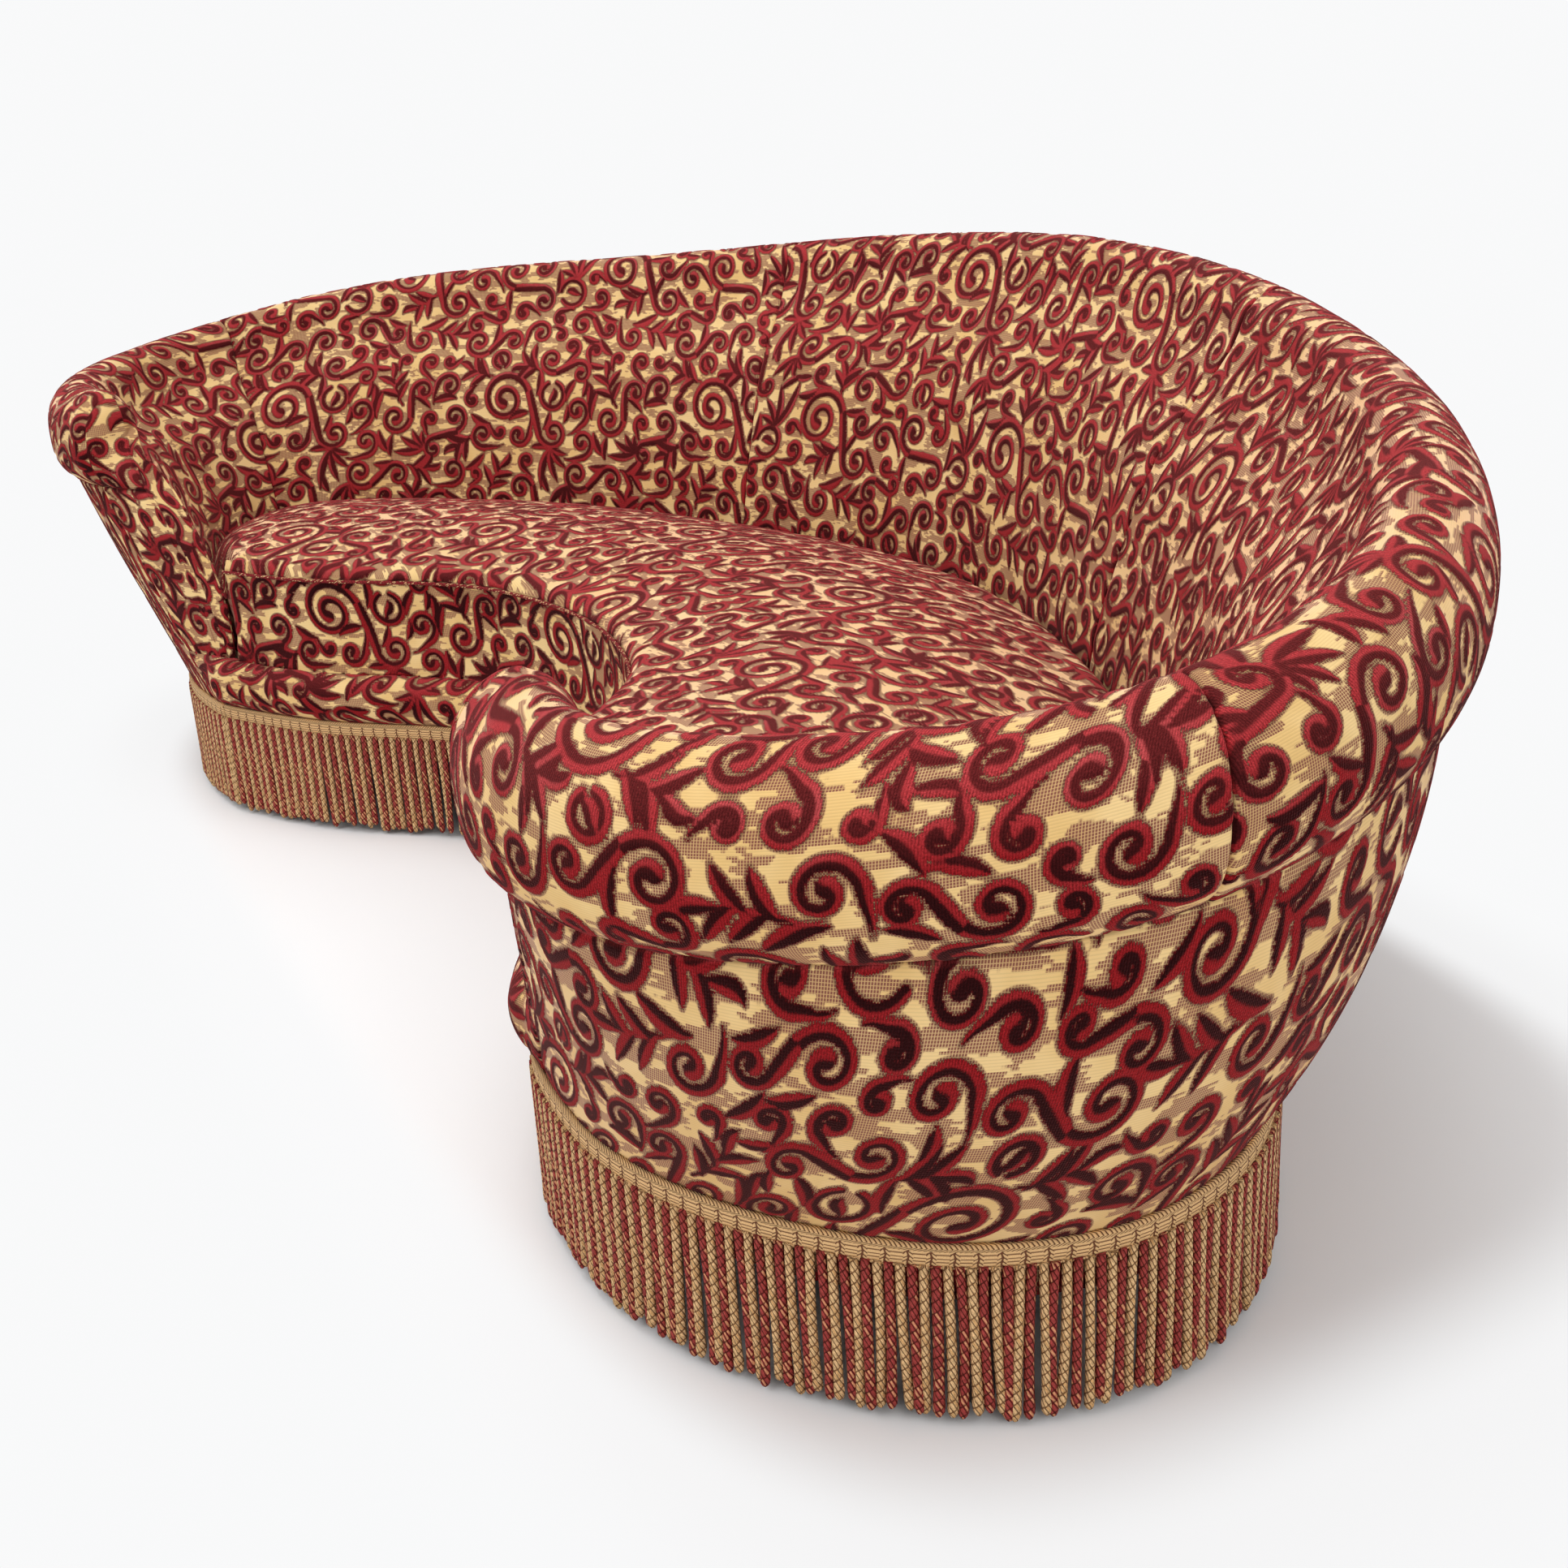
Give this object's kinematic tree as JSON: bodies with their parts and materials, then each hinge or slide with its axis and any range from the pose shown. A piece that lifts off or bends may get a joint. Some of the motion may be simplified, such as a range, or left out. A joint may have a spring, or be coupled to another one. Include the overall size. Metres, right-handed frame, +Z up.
{
  "type": "curved sofa",
  "caption": "Curved crescent sofa in scrolled cut velvet with a rolled padded back and arms, one long loose cushion and a bullion fringe to the floor.",
  "frame": {"origin": "bottom centre of the bounding box, on the floor below the middle of the sofa", "axes": "+X towards the right end seen from the front, +Y towards the back, +Z up; the open, hollow side faces -Y"},
  "size_m": [2.8222, 1.3516, 0.837],
  "materials": {
    "cut_velvet": "burgundy cut pile scrolls on a gold woven ground",
    "gold_braid": "woven gold fringe heading",
    "bullion_cords": "twisted gold and burgundy cords",
    "beech": "planed, unfinished",
    "foam": "bare foam in a stockinette",
    "jute": "woven jute",
    "cambric": "black non-woven cloth",
    "nylon": "moulded"
  },
  "bodies": {
    "sofa": {"back_rail": "beech", "front_rail": "beech", "cross_rail_1": "beech", "cross_rail_2": "beech", "top_rail": "beech", "left_arm_stump": "beech", "left_arm_post": "beech", "left_corner_post": "beech", "left_back_post": "beech", "right_back_post": "beech", "right_corner_post": "beech", "right_arm_post": "beech", "right_arm_stump": "beech", "foot_front_left": "beech", "foot_front_centre": "beech", "foot_front_right": "beech", "foot_end_right": "beech", "foot_back_right": "beech", "foot_back_left": "beech", "foot_end_left": "beech", "glide_front_left": "nylon", "glide_front_centre": "nylon", "glide_front_right": "nylon", "glide_end_right": "nylon", "glide_back_right": "nylon", "glide_back_left": "nylon", "glide_end_left": "nylon", "webbing_strap_1": "jute", "webbing_strap_2": "jute", "webbing_strap_3": "jute", "webbing_strap_4": "jute", "webbing_strap_5": "jute", "webbing_strap_6": "jute", "webbing_strap_7": "jute", "burlap": "jute", "deck_pad": "foam", "dust_cover": "cambric", "inside_left_arm": "cut_velvet", "inside_left_back": "cut_velvet", "inside_centre_back": "cut_velvet", "inside_right_back": "cut_velvet", "inside_right_arm": "cut_velvet", "outside_left_arm": "cut_velvet", "outside_back": "cut_velvet", "outside_right_arm": "cut_velvet", "deck_border": "cut_velvet", "fringe_heading_front": "gold_braid", "fringe_heading_left": "gold_braid", "fringe_heading_back": "gold_braid", "fringe_heading_right": "gold_braid", "fringe_cords_front": "bullion_cords", "fringe_cords_left": "bullion_cords", "fringe_cords_back": "bullion_cords", "fringe_cords_right": "bullion_cords"},
    "cushion": {"cushion_cover": "cut_velvet", "cushion_core": "foam", "cushion_piping": "cut_velvet"}
  },
  "joints": [
    {"name": "cushion_lift", "type": "slide", "parent": "sofa", "child": "cushion", "axis": [0, 0, 1], "range_m": [0, 0.3]}
  ]
}
